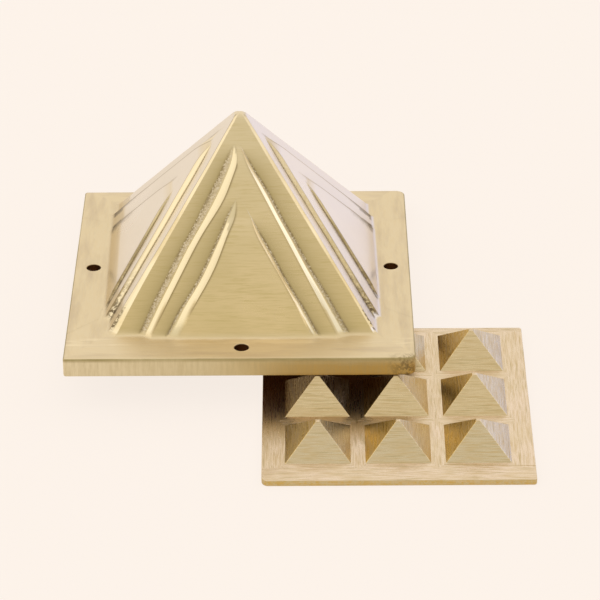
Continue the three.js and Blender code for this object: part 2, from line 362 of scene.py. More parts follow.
def ring(half_x, half_y, level, radii, steps=False, filed_flat=False, shift=0.0, hip_in=0.0):
    """The four sides of one ring on the level cover. radii holds the front left corner first and
    goes round to the back left. A shift of 1 sets the ring square on the pyramid, which was cast
    a little askew, and 0 on the flange. hip_in is how far the front left hip is moved in."""
    rows = []
    for side in range(4):
        half_along, half_out = (half_x, half_y) if side % 2 == 0 else (half_y, half_x)
        run = HALF_Y if side % 2 == 0 else HALF_X
        slope_length = math.hypot(run, PYRAMID_HEIGHT)
        up_slope = max(level, 0) / PYRAMID_HEIGHT * slope_length
        parts = []
        for arm, radius in ((-1, radii[side]), (1, radii[(side + 1) % 4])):
            shorter = hip_in if (side, arm) == (0, -1) else 0
            along, out, count = half_side(
                arm, side, half_along - shorter, half_out, radius, up_slope, slope_length, steps,
                filed_flat,
            )
            if side == 3:
                out = out - hip_in * (1 + arm * along / along[-1]) / 2
            lift = np.zeros(len(along))
            if steps:
                lift[:count] = step_relief(side, along[:count] * arm, up_slope, slope_length)
            parts.append(np.stack([along * arm, out, lift]))
        along, out, lift = np.concatenate([parts[0][:, :0:-1], parts[1]], axis=1)
        level_share = max(0, 1 - max(level, 0) / FOOT_BLEND)
        upright, outright = run / slope_length, PYRAMID_HEIGHT / slope_length
        sideways = out + lift * (outright + (1 / outright - outright) * level_share)
        height = level + lift * upright * (1 - level_share)
        x, y = turned(along, sideways, side)
        x, y = x + (RIGHT_SHIFT - SKEW * (y + HALF_Y)) * shift, y + BACK_SHIFT * shift
        rows.append(np.stack([x, y, height], axis=1))
    return np.concatenate(rows)


print("points in a ring:", len(ring(HALF_X, HALF_Y, 0, (1,) * 4)))

# %% [markdown]
# The rings follow the section through the cover. Arcs round the tip, the hollow at the pyramid's
# foot and the flange's edges; the long face has a ring about every half millimetre.

# %% The rings down the outside
# The largest shares of a ring's half width that a hip's flat and the moved hip may take.
MOST_FLAT, MOST_HIP_IN = 0.6, 0.15
TIP_START = math.radians(86)
ARC_RINGS, FACE_RINGS = 7, 100
FOOT_NORMAL = math.atan2(HALF_X, PYRAMID_HEIGHT)
SLANT_X = math.hypot(HALF_X, PYRAMID_HEIGHT)
foot_arc_x = HALF_X * (1 - FOOT_RADIUS / PYRAMID_HEIGHT) + FOOT_RADIUS * SLANT_X / PYRAMID_HEIGHT
tip_arc_level = PYRAMID_HEIGHT - TIP_RADIUS * SLANT_X / HALF_X
flange_radii = (CORNER_LEFT, CORNER_RIGHT, CORNER_RIGHT, CORNER_LEFT)


def pyramid_section(half_width, level, steps):
    most = half_width * MOST_FLAT
    flats = [min(np.interp(level, HIP_HEIGHTS, flat), most) for flat in HIP_FLATS]
    half_depth = half_width * HALF_Y / HALF_X
    hip_in = min(np.interp(level, HIP_HEIGHTS, LEFT_HIP_IN), half_width * MOST_HIP_IN)
    return ring(half_width, half_depth, level, flats, steps, True, 1, hip_in)


def outer_rings():
    rings = []
    for angle in np.linspace(TIP_START, FOOT_NORMAL, ARC_RINGS):
        half = TIP_RADIUS * math.cos(angle)
        rings.append(pyramid_section(half, tip_arc_level + TIP_RADIUS * math.sin(angle), False))
    face_top = tip_arc_level + TIP_RADIUS * math.sin(FOOT_NORMAL)
    face_foot = FOOT_RADIUS * (1 - math.sin(FOOT_NORMAL))
    for level in np.linspace(face_top, face_foot, FACE_RINGS)[1:-1]:
        half = HALF_X * (1 - level / PYRAMID_HEIGHT)
        rings.append(pyramid_section(half, level, True))
    for angle in np.linspace(FOOT_NORMAL - math.pi, -math.pi / 2, ARC_RINGS):
        half = foot_arc_x + FOOT_RADIUS * math.cos(angle)
        rings.append(pyramid_section(half, FOOT_RADIUS + FOOT_RADIUS * math.sin(angle), True))
    return rings


# %% The rings over the flange and up the hollow
LEAST_RADIUS = 0.05


def flange_ring(inset, level):
    """A ring just inside the flange's outline. level counts from the flange's top face."""
    radii = tuple(max(radius - inset, LEAST_RADIUS) for radius in flange_radii)
    return ring(FLANGE_WIDTH / 2 - inset, FLANGE_DEPTH / 2 - inset, level, radii)


def flange_rings():
    rings = []
    foot_half_y = foot_arc_x * HALF_Y / HALF_X
    for share in np.linspace(0.2, 1, 9):
        half_x = foot_arc_x + (FLANGE_WIDTH / 2 - EDGE_ROUND - foot_arc_x) * share
        half_y = foot_half_y + (FLANGE_DEPTH / 2 - EDGE_ROUND - foot_half_y) * share
        flats = [flat[0] for flat in HIP_FLATS]
        radii = [
            max(flat + (radius - EDGE_ROUND - flat) * share, LEAST_RADIUS)
            for flat, radius in zip(flats, flange_radii)
        ]
        hip_in = LEFT_HIP_IN[0] * (1 - share)
        rings.append(ring(half_x, half_y, 0, radii, shift=1 - share, hip_in=hip_in))
    for angle in np.linspace(0.25, 1, 4) * math.pi / 2:
        inset = EDGE_ROUND * (1 - math.sin(angle))
        rings.append(flange_ring(inset, -EDGE_ROUND * (1 - math.cos(angle))))
    for level in np.linspace(-EDGE_ROUND, EDGE_ROUND - FLANGE_EDGE, 7)[1:]:
        rings.append(flange_ring(0, level))
    for angle in np.linspace(0.25, 1, 4) * math.pi / 2:
        inset = EDGE_ROUND * (1 - math.cos(angle))
        rings.append(flange_ring(inset, EDGE_ROUND * (1 - math.sin(angle)) - FLANGE_EDGE))
    return rings


def inner_rings():
    tray = (TRAY_CORNER,) * 4
    hollow = (HOLLOW_CORNER,) * 4
    inner_x, inner_y = FLANGE_WIDTH / 2 - LIP, FLANGE_DEPTH / 2 - LIP
    lip_levels = (-FLANGE_EDGE, -FLANGE_EDGE + 0.4, -WEB - 0.4, -WEB)
    rings = [ring(inner_x, inner_y, level, tray) for level in lip_levels]
    mouth_x = HALF_X - SHELL_WALL * SLANT_X / PYRAMID_HEIGHT
    mouth_y = mouth_x * HALF_Y / HALF_X
    for share in np.linspace(0.25, 1, 4):
        half_x = inner_x + (mouth_x - inner_x) * share
        half_y = inner_y + (mouth_y - inner_y) * share
        corner = TRAY_CORNER + (HOLLOW_CORNER - TRAY_CORNER) * share
        rings.append(ring(half_x, half_y, -WEB, (corner,) * 4, shift=share))
    for level in (-WEB + 0.2, -0.2, 0):
        rings.append(ring(mouth_x, mouth_y, level, hollow, shift=1))
    for half in np.linspace(mouth_x, CAVITY_TIP_HALF, 14)[1:]:
        level = (mouth_x - half) * PYRAMID_HEIGHT / HALF_X
        rings.append(ring(half, half * HALF_Y / HALF_X, level, hollow, shift=1))
    return rings


# %% The whole skin of the cover
def mesh_from_rings(name, rings):
    """A closed mesh through rings of equal length, with a point closing each end."""
    count = len(rings[0])
    points = [rings[0].mean(axis=0)] + [point for row in rings for point in row]
    points.append(rings[-1].mean(axis=0))
    last = len(points) - 1
    faces = []
    for column in range(count):
        following = (column + 1) % count
        faces.append((0, 1 + column, 1 + following))
        faces.append((last, last - count + following, last - count + column))
    for row in range(len(rings) - 1):
        upper, lower = 1 + row * count, 1 + (row + 1) * count
        for column in range(count):
            following = (column + 1) % count
            faces.append((upper + column, lower + column, lower + following, upper + following))
    mesh = bpy.data.meshes.new(name)
    mesh.from_pydata([tuple(point) for point in points], [], faces)
    return mesh


cover_mesh = mesh_from_rings("pyramid_cover_fine", outer_rings() + flange_rings() + inner_rings())
print("cover skin:", len(cover_mesh.vertices), "points,", len(cover_mesh.polygons), "faces")

# %% [markdown]
# Hand work is never quite even. A slow wave over the whole outside and a fine pebble beside the
# steps are moved into the points themselves, so they show in the outline as well as in the shine.
# The same distances that drew the steps say where the pebbled skin lies, where the filed slopes
# are painted paler as a highlight, where lines of painted shade run and where the side arms' lower
# ends turn darker.

# %% Where points lie on the pyramid's faces
def from_pyramid_middle(level_points):
    y = level_points[:, 1] - BACK_SHIFT
    return level_points[:, 0] - RIGHT_SHIFT + SKEW * (y + HALF_Y), y


def left_face_in(level, y):
    """How far the left face stands in at points of it, because its front hip does."""
    half_x = HALF_X * (1 - np.clip(level / PYRAMID_HEIGHT, 0, 0.98))
    hip_in = np.minimum(np.interp(level, HIP_HEIGHTS, LEFT_HIP_IN), half_x * MOST_HIP_IN)
    return hip_in * (1 - y / half_x * HALF_X / HALF_Y) / 2


def face_coordinates(level_points):
    """For points on the level cover: the side each lies on, its distance along that side and up
    its slope, and the slope's length."""
    x, y = from_pyramid_middle(level_points)
    z = level_points[:, 2] - FLANGE_EDGE
    on_x = np.abs(x) / HALF_X > np.abs(y) / HALF_Y
    run = np.where(on_x, HALF_X, HALF_Y)
    slope_length = np.hypot(run, PYRAMID_HEIGHT)
    out = np.where(on_x, np.abs(x) + (x < 0) * left_face_in(z, y), np.abs(y))
    along = np.where(on_x, np.sign(x) * y, -np.sign(y) * x)
    side = np.where(on_x, np.where(x > 0, 1, 3), np.where(y > 0, 2, 0))
    up_slope = ((run - out) * run + z * PYRAMID_HEIGHT) / slope_length
    return side, along, up_slope, slope_length


# %% What the file and the mould left along each arm, with painted shade and highlights
MARKS = ("cast_skin", "unbuffed_and_shade", "foot_shade_line", "crest_shade_line", "facet_highlight", "dark_arm", "arm_area")
UNBUFFED_SHADE_REACH = 2.2
# Half the widths of the dark lines of painted shade by a crest and by a foot: on the front and
# back, then on the left and right faces, where they widen towards the arms' lower ends.
FRONT_LINES = (0.15, 0.2)
SIDE_LINES = ((0.14, 0.2), (0.16, 0.25))
# Over what height the lines widen and the side arms' lower ends turn darker, how far the darker
# strip reaches past a foot and a crest, and how much wider it grows low on the side faces' back
# halves.
LINE_END, DARK_END = 12, 6
DARK_STRIP, WIDER_DARK = 0.35, 1.8
EDGE_FADE = 0.06
# How strong the crest's line of painted shade is on the left and right arms of the front.
CREST_SHARES = (0.85, 0.3)


def marks_of_arm(step, arm_data, nearer_left, on_front, towards_front, at_end, clean, dark_width):
    """The marks by one step's nearer arm, from 0 to 1 at each point: the pebbled skin at its foot
    and on a slope not filed clean, the band outside it, darker as painted shade and as metal that a
    buffing wheel doesn't reach, the dark lines of painted shade by foot and crest, the slope filed
    clean, which is painted paler as a highlight, how much painted light and shade a front arm takes
    by the way it faces, and the strip on the left and right faces that turns darker at the arms'
    lower ends."""
    inward, pebbled, filed, _, growth = arm_data
    crest = pebbled + filed
    crest_width, foot_width = (
        np.where(on_front, front, side + gain * at_end)
        for front, (side, gain) in zip(FRONT_LINES, SIDE_LINES)
    )
    line_share = np.where(on_front, np.where(nearer_left, *CREST_SHARES), 0.75 + 0.25 * at_end)
    slope = rise(inward, pebbled, EDGE_FADE) * rise(crest, inward, EDGE_FADE)
    foot_skin = rise(inward, -0.3, 0.3) * rise(pebbled, inward, 0.15)
    on_arm = (inward > -1) * (inward < crest)
    # The band outside a foot darkens towards it: painted shade by the step, and metal that a buffing
    # wheel doesn't reach.
    reach = np.exp(-np.abs(np.minimum(inward, 0)) / UNBUFFED_SHADE_REACH)
    return {
        "cast_skin": np.maximum(foot_skin, slope * (1 - clean) * 0.6) * growth * towards_front,
        "unbuffed_and_shade": reach * (inward < 0.2) * growth,
        "foot_shade_line": hump(inward + 0.03, foot_width) * growth,
        "crest_shade_line": hump(inward - crest - 0.12, crest_width) * growth * line_share,
        "facet_highlight": slope * clean,
        "dark_arm": on_arm * np.where(nearer_left, 0.25 + 0.4 * step, 1) * on_front,
        "arm_area": (inward > -DARK_STRIP) * (inward < crest + dark_width) * ~on_front,
    }


def step_marks(level_points):
    """All marks at each point, the strongest where arms overlap, and none on the flange."""
    side, along, up_slope, slope_length = face_coordinates(level_points)
    on_front = side % 2 == 0
    height = np.maximum(up_slope, 0)
    at_end = hump(height, LINE_END)
    towards_front = on_front | (level_points[:, 1] < BACK_SHIFT)
    dark_width = DARK_STRIP + WIDER_DARK * ~towards_front * hump(height, DARK_END)
    marks = {name: np.zeros(len(side)) for name in MARKS}
    for step in (0, 1):
        arms = [inward_distance(step, arm, side, along, up_slope, slope_length) for arm in (-1, 1)]
        nearer_left = arms[0][0] < arms[1][0]
        nearer = [np.where(nearer_left, *pair) for pair in zip(*arms)]
        clean = FILED_CLEAN[side, step]
        found = marks_of_arm(
            step, nearer, nearer_left, on_front, towards_front, at_end, clean, dark_width
        )
        for name, values in found.items():
            marks[name] = np.maximum(marks[name], values)
    on_pyramid = rise(level_points[:, 2] - FLANGE_EDGE, 0.25, 0.5)
    return {name: values * on_pyramid for name, values in marks.items()}


# %% The flats filed along the hips
HIP_START = 0.4


def on_hip(level_points):
    """1 on the flats filed along the hips and on the tip, and 1 along the lines beside them on
    the left and right faces."""
    x, y = from_pyramid_middle(level_points)
    level = level_points[:, 2] - FLANGE_EDGE
    half_x = HALF_X * (1 - level / PYRAMID_HEIGHT)
    half_y = half_x * HALF_Y / HALF_X
    short = half_x - np.abs(x) - (x < 0) * left_face_in(level, y) + half_y - np.abs(y)
    corner = np.where(x < 0, np.where(y < 0, 0, 3), np.where(y < 0, 1, 2))
    flats = np.array([np.interp(level, HIP_HEIGHTS, flat) for flat in HIP_FLATS])
    flat = flats[corner, np.arange(len(x))]
    filed = rise(flat * 1.04, short, EDGE_FADE) * (level > HIP_START) * (short < flat * 1.3)
    on_side = np.abs(x) / HALF_X > np.abs(y) / HALF_Y
    beside = hump(short - flat - 0.25, 0.2) * on_side * (y < 0) * (level > HIP_START)
    return filed, beside


# %% Waves, pebbles and welding
WAVE_SCALE, WAVE_HEIGHT = 0.16, 0.035
PEBBLE_SCALE, PEBBLE_HEIGHT = 2.6, 0.05
JOIN_DISTANCE = 0.004
CLOSE = 0.05


def noise_at(places, scale):
    return np.array([noise.noise(Vector(place) * scale) for place in places])


def rough_up(mesh):
    """Moves the points of the outside along their normals by the wave and the pebble."""
    places = np.array([vertex.co for vertex in mesh.vertices])
    normals = np.array([vertex.normal for vertex in mesh.vertices])
    skin = step_marks(places)["cast_skin"]
    outside = places[:, 2] > FLANGE_EDGE + CLOSE
    wave = noise_at(places, WAVE_SCALE) * WAVE_HEIGHT
    pebble = noise_at(places, PEBBLE_SCALE) * PEBBLE_HEIGHT
    shift = (wave + pebble * skin) * outside
    moved = places + normals * shift[:, None]
    mesh.vertices.foreach_set("co", moved.ravel())
    mesh.update()


def rework(mesh, *changes):
    """Opens a mesh for editing and makes each change to it."""
    work = bmesh.new()
    work.from_mesh(mesh)
    for change in changes:
        change(work)
    work.to_mesh(mesh)
    work.free()
    mesh.update()


def join_close_points(work):
    """Joins points that fell together where a step's apex closes."""
    bmesh.ops.remove_doubles(work, verts=work.verts, dist=JOIN_DISTANCE)
    bmesh.ops.dissolve_degenerate(work, edges=work.edges, dist=JOIN_DISTANCE / 2)


def face_outward(work):
    bmesh.ops.recalc_face_normals(work, faces=work.faces)


for point in cover_mesh.vertices:
    point.co.z += FLANGE_EDGE
rework(cover_mesh, join_close_points, face_outward)
rough_up(cover_mesh)
print("after welding:", len(cover_mesh.vertices), "points")

# %% [markdown]
# The four screw holes repeat one drill. Geometry Nodes sets a drill on each of four points, and
# the result cuts the flange. The drill is a turned shape, a little wider at the top, because a
# real drilled hole has a worn edge.

# %% The drill and its four places
DRILL_WEAR = 0.14
DRILL_REACH = 0.6
DRILL_SIDES = 48


def object_from(mesh, name):
    made = bpy.data.objects.new(name, mesh)
    bpy.context.collection.objects.link(made)
    return made


def baked(source, name):
    """The evaluated object as a plain mesh object of its own."""
    graph = bpy.context.evaluated_depsgraph_get()
    mesh = bpy.data.meshes.new_from_object(source.evaluated_get(graph), depsgraph=graph)
    mesh.name = name
    return object_from(mesh, name)


def drill_mesh():
    radius, wear, reach = HOLE_DIAMETER / 2, DRILL_WEAR, DRILL_REACH
    profile = [(radius, -WEB - reach), (radius, -wear), (radius + wear, 0), (radius + wear, reach)]
    angles = np.linspace(0, 2 * math.pi, DRILL_SIDES + 1)[:-1]
    rings = [
        np.array([(r * math.cos(a), r * math.sin(a), FLANGE_EDGE + z) for a in angles])
        for r, z in profile
    ]
    mesh = mesh_from_rings("drill", rings)
    rework(mesh, face_outward)
    return mesh


def set_inputs(modifier, tree, values):
    """Sets a node modifier's inputs by the identifiers of its sockets."""
    for item in tree.interface.items_tree:
        if item.item_type == "SOCKET" and item.in_out == "INPUT" and item.name in values:
            modifier[item.identifier] = values[item.name]


def repeat_tree():
    """Sets one shape on every point of the mesh that carries the modifier."""
    tree = bpy.data.node_groups.new("repeat_on_points", "GeometryNodeTree")
    for name, kind in (("Points", "Geometry"), ("Shape", "Object"), ("Finish", "Material")):
        tree.interface.new_socket(name, in_out="INPUT", socket_type="NodeSocket" + kind)
    tree.interface.new_socket("Result", in_out="OUTPUT", socket_type="NodeSocketGeometry")
    entry, leave = tree.nodes.new("NodeGroupInput"), tree.nodes.new("NodeGroupOutput")
    shape, points, place, realize, finish = (
        tree.nodes.new("GeometryNode" + kind)
        for kind in (
            "ObjectInfo", "MeshToPoints", "InstanceOnPoints", "RealizeInstances", "SetMaterial",
        )
    )
    for giver, output, taker, way_in in (
        (entry, "Points", points, "Mesh"),
        (entry, "Shape", shape, "Object"),
        (points, "Points", place, "Points"),
        (shape, "Geometry", place, "Instance"),
        (place, "Instances", realize, "Geometry"),
        (realize, "Geometry", finish, "Geometry"),
        (entry, "Finish", finish, "Material"),
        (finish, "Geometry", leave, "Result"),
    ):
        tree.links.new(giver.outputs[output], taker.inputs[way_in])
    return tree


REPEAT = repeat_tree()


def repeated(shape_mesh, places, finish, name):
    """One plain mesh object that holds a copy of the shape at each place."""
    shape = object_from(shape_mesh, name + "_shape")
    point_mesh = bpy.data.meshes.new(name + "_points")
    point_mesh.from_pydata(places, [], [])
    carrier = object_from(point_mesh, name + "_carrier")
    modifier = carrier.modifiers.new("repeat", "NODES")
    modifier.node_group = REPEAT
    set_inputs(modifier, REPEAT, {"Shape": shape, "Finish": finish})
    result = baked(carrier, name)
    for spare in (carrier, shape):
        bpy.data.objects.remove(spare)
    return result


# %% Cutting the holes
def cut(target, cutter, name, operation="DIFFERENCE"):
    """The target joined with or cut by the cutter, as a plain mesh object."""
    modifier = target.modifiers.new("cut", "BOOLEAN")
    modifier.operation = operation
    modifier.solver = "EXACT"
    modifier.object = cutter
    result = baked(target, name)
    for spare in (target, cutter):
        bpy.data.objects.remove(spare)
    return result


drill_finish = bpy.data.materials.new("drill_finish")
side_hole = FLANGE_WIDTH / 2 - SIDE_HOLE_INSET
hole_places = [
    (side_hole, BACK_SHIFT, 0),
    (-side_hole, BACK_SHIFT, 0),
    (RIGHT_SHIFT, FLANGE_DEPTH / 2 - BACK_HOLE_INSET, 0),
    (RIGHT_SHIFT, FRONT_HOLE_INSET - FLANGE_DEPTH / 2, 0),
]
drills = repeated(drill_mesh(), hole_places, drill_finish, "drills")
uncut_cover = object_from(cover_mesh, "uncut_cover")
cover = cut(uncut_cover, drills, "pyramid_cover_fine")
print("cover with holes:", len(cover.data.vertices), "points,", len(cover.data.polygons), "faces")

# %% [markdown]
# Each piece carries a few values at its points or its faces, which its material reads: where the
# skin is still as cast, which way the brush ran, and where the metal is in the hollow underneath.
# They are worked out from the shape's own sizes, so the finish follows the form from any side.

# %% Values for the finish
def store(mesh, name, values, domain="POINT"):
    attribute = mesh.attributes.new(name, "FLOAT", domain)
    attribute.data.foreach_set("value", np.asarray(values, dtype=np.float32))


def shade_smooth(mesh, angle):
    mesh.shade_smooth()
    mesh.set_sharp_from_angle(angle=math.radians(angle))


def point_array(mesh):
    values = np.empty(len(mesh.vertices) * 3)
    mesh.vertices.foreach_get("co", values)
    return values.reshape(-1, 3)


def is_hollow(level_points):
    """True for points in the hollow, in the tray under the flange and down the screw holes."""
    x, y, z = level_points.T
    inner_x, inner_y = FLANGE_WIDTH / 2 - LIP + CLOSE, FLANGE_DEPTH / 2 - LIP + CLOSE
    outer_face = HALF_X * (1 - (z - FLANGE_EDGE) / PYRAMID_HEIGHT)
    wall = SHELL_WALL * SLANT_X / PYRAMID_HEIGHT
    from_middle_x, from_middle_y = from_pyramid_middle(level_points)
    reach = np.maximum(np.abs(from_middle_x), np.abs(from_middle_y) * HALF_X / HALF_Y)
    below = (z < FLANGE_EDGE - WEB + CLOSE) | (reach < outer_face - wall * 0.6)
    hollow = (np.abs(x) < inner_x) & (np.abs(y) < inner_y) & below
    for hole_x, hole_y, _ in hole_places:
        in_hole = np.hypot(x - hole_x, y - hole_y) < HOLE_DIAMETER / 2 + 0.02
        hollow |= in_hole & (z < FLANGE_EDGE - CLOSE)
    return hollow


# %% Values for the cover's finish
# Where the pale painted reflection on the side faces begins above the flange and over what height,
# on the left and on the right: the left face keeps an olive cove of painted shade at its foot.
COVE_TOPS, COVE_FADES = (3.6, -0.01), (0.9, 0.4)
RIGHT_COVE = 1.2
ARM_END = 7
# How far a normal must point sideways for the pale painted reflection, in the right cove and
# elsewhere.
STEEP_IN_COVE, STEEP = 0.35, 0.68
BESIDE_HIP_SHARES = (0.85, 0.4)
HIP_DARK_TOP = 5


def finish_cover_mesh(mesh):
    level_points = point_array(mesh)
    normals = np.array([vertex.normal for vertex in mesh.vertices])
    side, _, up_slope, _ = face_coordinates(level_points)
    x, y, z = level_points.T
    level = z - FLANGE_EDGE
    outside = ~is_hollow(level_points)
    left, on_side = x < 0, np.isin(side, (1, 3))
    # Faces that point sideways are painted pale, as a painted reflection of pale surroundings.
    above_cove = rise(level, np.where(left, *COVE_TOPS), np.where(left, *COVE_FADES)) * outside
    steep = np.where((x > 0) & (z < FLANGE_EDGE + RIGHT_COVE), STEEP_IN_COVE, STEEP)
    sideways = rise(np.abs(normals[:, 0]), steep, 0.08) * above_cove
    marks = step_marks(level_points)
    filed_hip, beside_hip = on_hip(level_points)
    # The hips' filed flats are painted paler as a highlight like the filed slopes, and the lines
    # beside them get painted shade.
    for name, more in (
        ("facet_highlight", filed_hip),
        ("crest_shade_line", beside_hip * np.where(left, *BESIDE_HIP_SHARES)),
        ("arm_area", (beside_hip > 0.02) * (z < FLANGE_EDGE + HIP_DARK_TOP)),
    ):
        marks[name] = np.maximum(marks[name], more)
    values = marks | {
        "reflection_left": sideways * left,
        "reflection_right": sideways * (x > 0),
        "back_arm": marks["arm_area"] * (y > BACK_SHIFT) * 0.8,
        # The left face's cove gets olive painted shade.
        "left_cove_shade": left * on_side * rise(level, 0.05, 0.3) * (1 - above_cove),
        "edge_low": rise(FLANGE_EDGE, z, 3.4),
        "on_side": on_side * rise(level, 0.3, 0.5),
        "arm_end": hump(np.maximum(up_slope, 0), ARM_END),
        "flange": 1 - rise(level, 0, RIGHT_COVE),
        "flange_edge": z < FLANGE_EDGE - CLOSE,
        "edge_shade_line": (z < FLANGE_EDGE - 0.02) & (z > FLANGE_EDGE - 0.5),
    }
    for name, value in values.items():
        store(mesh, name, value * outside)
    store(mesh, "underside", ~outside)
    store(mesh, "grain_along_y", on_side)
    store(mesh, "up_face", rise(level, 0, PYRAMID_HEIGHT))
    mesh.vertices.foreach_set("co", lean_and_place(level_points).ravel())
    mesh.update()


finish_cover_mesh(cover.data)
shade_smooth(cover.data, 13)
print("values that the cover's finish reads:", len(cover.data.attributes))

# %% [markdown]
# The plate repeats one small pyramid nine times, so the same Geometry Nodes tree sets them out.
# The small pyramid is drawn from rings like the large one, with crisp hips that a file has just
# taken the sharpness off, and the plate's slab joins them into one solid.

# %% One small pyramid
SMALL_SINK = 0.4
SMALL_HIP = 0.16
SMALL_COLUMNS = 9
# The worn tip: shares of its half width, and how far below the top each is.
SMALL_TIP = ((0.35, 0.0), (0.7, 0.02), (0.92, 0.08))


def small_ring(share, level):
    """A ring of the small pyramid. share is 1 at its foot and 0 where the faces would meet."""
    half_x, half_y = SMALL_WIDTH / 2 * share, SMALL_DEPTH / 2 * share
    radius = min(SMALL_HIP, half_x * 0.8, half_y * 0.8)
    rows = []
    for side in range(4):
        half_along, half_out = (half_x, half_y) if side % 2 == 0 else (half_y, half_x)
        columns = np.linspace(0, half_along - radius, SMALL_COLUMNS)
        corner_along, corner_out = corner_points(half_along, half_out, radius, False)
        along = np.concatenate([columns, corner_along])
        out = np.concatenate([np.full(len(columns), half_out), corner_out])
        along, out = np.concatenate([-along[:0:-1], along]), np.concatenate([out[:0:-1], out])
        x, y = turned(along, out, side)
        rows.append(np.stack([x, y, np.full(len(x), level)], axis=1))
    return np.concatenate(rows)


def small_pyramid_mesh():
    tip_share = SMALL_TIP_HALF / (SMALL_WIDTH / 2)
    sections = [(tip_share * share, SMALL_TOP - drop) for share, drop in SMALL_TIP]
    for share in np.linspace(tip_share * 1.15, 1, 22):
        sections.append((share, SMALL_HEIGHT * (1 - share)))
    sections.append((1, -SMALL_SINK))
    mesh = mesh_from_rings("small_pyramid", [small_ring(*section) for section in sections])
    rework(mesh, join_close_points, face_outward)
    return mesh


small_mesh = small_pyramid_mesh()
print("small pyramid:", len(small_mesh.polygons), "faces")

# %% The slab under the small pyramids
SLAB_ROUNDS = (0.12, 0.3)
SCRIBE_HALF = 0.09
SCRIBE_DEPTH = 0.11
scribe_y = -PLATE_DEPTH / 2 + 5.3
SCRIBE_LINE = ((9.5, scribe_y), (PLATE_WIDTH / 2 + 0.5, scribe_y - 0.5))


def plate_outline(inset):
    """The slab's outline as points, front left corner first, with its own radius at each corner."""
    half_x, half_y = PLATE_WIDTH / 2 - inset, PLATE_DEPTH / 2 - inset
    corners = [
        (-half_x, -half_y, 1, 1, PLATE_FRONT_LEFT, math.pi),
        (half_x, -half_y, -1, 1, PLATE_CORNER, 1.5 * math.pi),
        (half_x, half_y, -1, -1, PLATE_CORNER, 0),
        (-half_x, half_y, 1, -1, PLATE_CORNER, 0.5 * math.pi),
    ]
    points = []
    for x, y, inward_x, inward_y, radius, start in corners:
        radius = max(radius - inset, LEAST_RADIUS)
        for angle in np.linspace(start, start + math.pi / 2, 9):
            points.append((
                x + inward_x * radius + radius * math.cos(angle),
                y + inward_y * radius + radius * math.sin(angle),
            ))
    return np.array(points)


def slab_mesh():
    top, bottom = SLAB_ROUNDS
    sections = []
    for angle in np.linspace(0, math.pi / 2, 4):
        drop = top * (1 - math.cos(angle))
        sections.append((top * (1 - math.sin(angle)), PLATE_THICKNESS - drop))
    for angle in np.linspace(0, math.pi / 2, 5):
        sections.append((bottom * (1 - math.cos(angle)), bottom * (1 - math.sin(angle))))
    rings = []
    for inset, level in sections:
        outline = plate_outline(inset)
        rings.append(np.column_stack([outline, np.full(len(outline), level)]))
    mesh = mesh_from_rings("slab", rings)
    rework(mesh, face_outward)
    return mesh


def scribe_mesh():
    """A long thin wedge that scores a line from the right column's foot to the right edge."""
    above, below = PLATE_THICKNESS + 0.05, PLATE_THICKNESS - SCRIBE_DEPTH
    points = []
    for x, y in SCRIBE_LINE:
        points += [(x, y - SCRIBE_HALF, above), (x, y, below), (x, y + SCRIBE_HALF, above)]
    mesh = bpy.data.meshes.new("scribe")
    mesh.from_pydata(points, [], [(0, 2, 1), (3, 4, 5), (0, 1, 4, 3), (1, 2, 5, 4), (2, 0, 3, 5)])
    return mesh


middle = (GRID_COUNT - 1) / 2
small_places = [
    (
        (column - middle) * (SMALL_WIDTH + CHANNEL),
        (row - middle) * (SMALL_DEPTH + CHANNEL) + GRID_BACK,
        PLATE_THICKNESS,
    )
    for column in range(GRID_COUNT)
    for row in range(GRID_COUNT)
]
small_pyramids = repeated(small_mesh, small_places, drill_finish, "small_pyramids")
scribe = object_from(scribe_mesh(), "scribe")
slab = cut(object_from(slab_mesh(), "slab"), scribe, "scribed_slab")
plate = cut(slab, small_pyramids, "nine_pyramid_plate_fine", "UNION")
print("plate:", len(plate.data.vertices), "points,", len(plate.data.polygons), "faces")

# %% Values for the plate's finish
SLANTED = 0.4  # a face slants one way where its normal reaches this far that way


def split_large_faces(work):
    bmesh.ops.triangulate(work, faces=[face for face in work.faces if len(face.verts) > 4])


def finish_plate_mesh(mesh):
    rework(mesh, split_large_faces)
    normals = np.array([face.normal for face in mesh.polygons])
    centres = np.array([face.center for face in mesh.polygons])
    right, back, up = normals.T
    in_right_column = centres[:, 0] > (SMALL_WIDTH + CHANNEL) / 2
    faces_front = (back < -SLANTED) * (up > SLANTED)
    values = {
        "front_row": faces_front * (centres[:, 1] < -SMALL_DEPTH),
        "faces_front": faces_front,
        "faces_left": right < -SLANTED,
        "faces_right": (right > SLANTED) * in_right_column,
        "faces_inward": (right > SLANTED) * ~in_right_column,
        "slanted": (np.abs(up) < 0.9) * (centres[:, 2] > PLATE_THICKNESS),
        "slab_edge": (np.abs(up) < 0.5) * (centres[:, 2] < PLATE_THICKNESS),
    }
    for name, value in values.items():
        store(mesh, name, value, "FACE")
    points = point_array(mesh)
    points[:, 0] += plate_middle.x
    points[:, 1] += plate_middle.y
    mesh.vertices.foreach_set("co", (points * MM).ravel())
    mesh.update()


finish_plate_mesh(plate.data)
shade_smooth(plate.data, 30)
print("values that the plate's finish reads:", len(plate.data.attributes))

# %% [markdown]
# Brass is a metal, so its colour lies in its reflections. The finish has three layers: a base
# colour that wanders between gold and olive, a fine grain of bump along the brush's way, and,
# where the sand mould's skin is left, a dark, dull pebble. A helper adds the nodes, so that each
# finish reads as a list of colours, laid one over the other.

